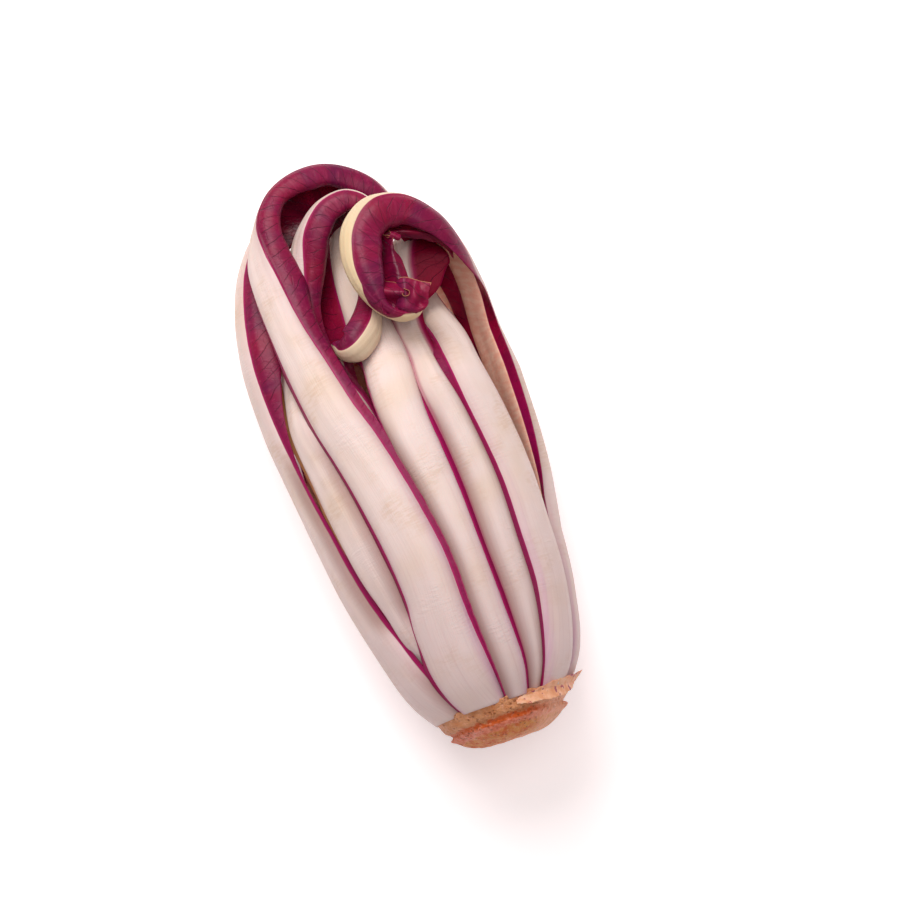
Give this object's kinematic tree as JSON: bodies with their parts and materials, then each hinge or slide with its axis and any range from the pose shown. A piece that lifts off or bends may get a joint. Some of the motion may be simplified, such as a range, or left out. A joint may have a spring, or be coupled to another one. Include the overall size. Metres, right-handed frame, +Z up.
{
  "type": "radicchio head",
  "caption": "Head of forced red radicchio with thick white ribs, thin dark red blades and hooked leaf tips, on a short trimmed root, lying on its back leaves.",
  "frame": {"origin": "under the middle of the bounding box, at the height of the surface the head lies on", "axes": "+Y from the cut root to the leaf tips, +Z up, +X to the right of the head seen from above with the tips away"},
  "size_m": [0.0848, 0.2018, 0.0782],
  "materials": {
    "outer_leaf_left_skin": "satin",
    "outer_leaf_front_skin": "satin",
    "under_leaf_left_skin": "satin",
    "front_leaf_middle_skin": "satin",
    "front_leaf_right_skin": "satin",
    "outer_leaf_right_front_skin": "satin",
    "outer_leaf_right_hook_skin": "satin",
    "looped_leaf_skin": "satin",
    "outer_leaf_left_low_skin": "satin",
    "back_leaf_left_skin": "satin",
    "back_leaf_middle_left_skin": "satin",
    "back_leaf_middle_right_skin": "satin",
    "back_leaf_right_skin": "satin",
    "second_leaf_left_skin": "satin",
    "second_leaf_low_left_skin": "satin",
    "second_leaf_low_skin": "satin",
    "second_leaf_low_right_skin": "satin",
    "second_leaf_right_skin": "satin",
    "inner_leaf_front_skin": "satin",
    "inner_leaf_left_skin": "satin",
    "inner_leaf_back_skin": "satin",
    "inner_leaf_right_skin": "satin",
    "heart_leaf_front_skin": "satin",
    "heart_leaf_back_skin": "satin",
    "flap_skin": "matt",
    "root_skin": "rough"
  },
  "bodies": {
    "root": {"outer_leaf_left": "outer_leaf_left_skin", "outer_leaf_front": "outer_leaf_front_skin", "under_leaf_left": "under_leaf_left_skin", "front_leaf_middle": "front_leaf_middle_skin", "front_leaf_right": "front_leaf_right_skin", "outer_leaf_right_front": "outer_leaf_right_front_skin", "outer_leaf_right_hook": "outer_leaf_right_hook_skin", "looped_leaf": "looped_leaf_skin", "outer_leaf_left_low": "outer_leaf_left_low_skin", "back_leaf_left": "back_leaf_left_skin", "back_leaf_middle_left": "back_leaf_middle_left_skin", "back_leaf_middle_right": "back_leaf_middle_right_skin", "back_leaf_right": "back_leaf_right_skin", "second_leaf_left": "second_leaf_left_skin", "second_leaf_low_left": "second_leaf_low_left_skin", "second_leaf_low": "second_leaf_low_skin", "second_leaf_low_right": "second_leaf_low_right_skin", "second_leaf_right": "second_leaf_right_skin", "inner_leaf_front": "inner_leaf_front_skin", "inner_leaf_left": "inner_leaf_left_skin", "inner_leaf_back": "inner_leaf_back_skin", "inner_leaf_right": "inner_leaf_right_skin", "heart_leaf_front": "heart_leaf_front_skin", "heart_leaf_back": "heart_leaf_back_skin", "collar_flap": "flap_skin", "trimmed_root": "root_skin"}
  },
  "joints": []
}
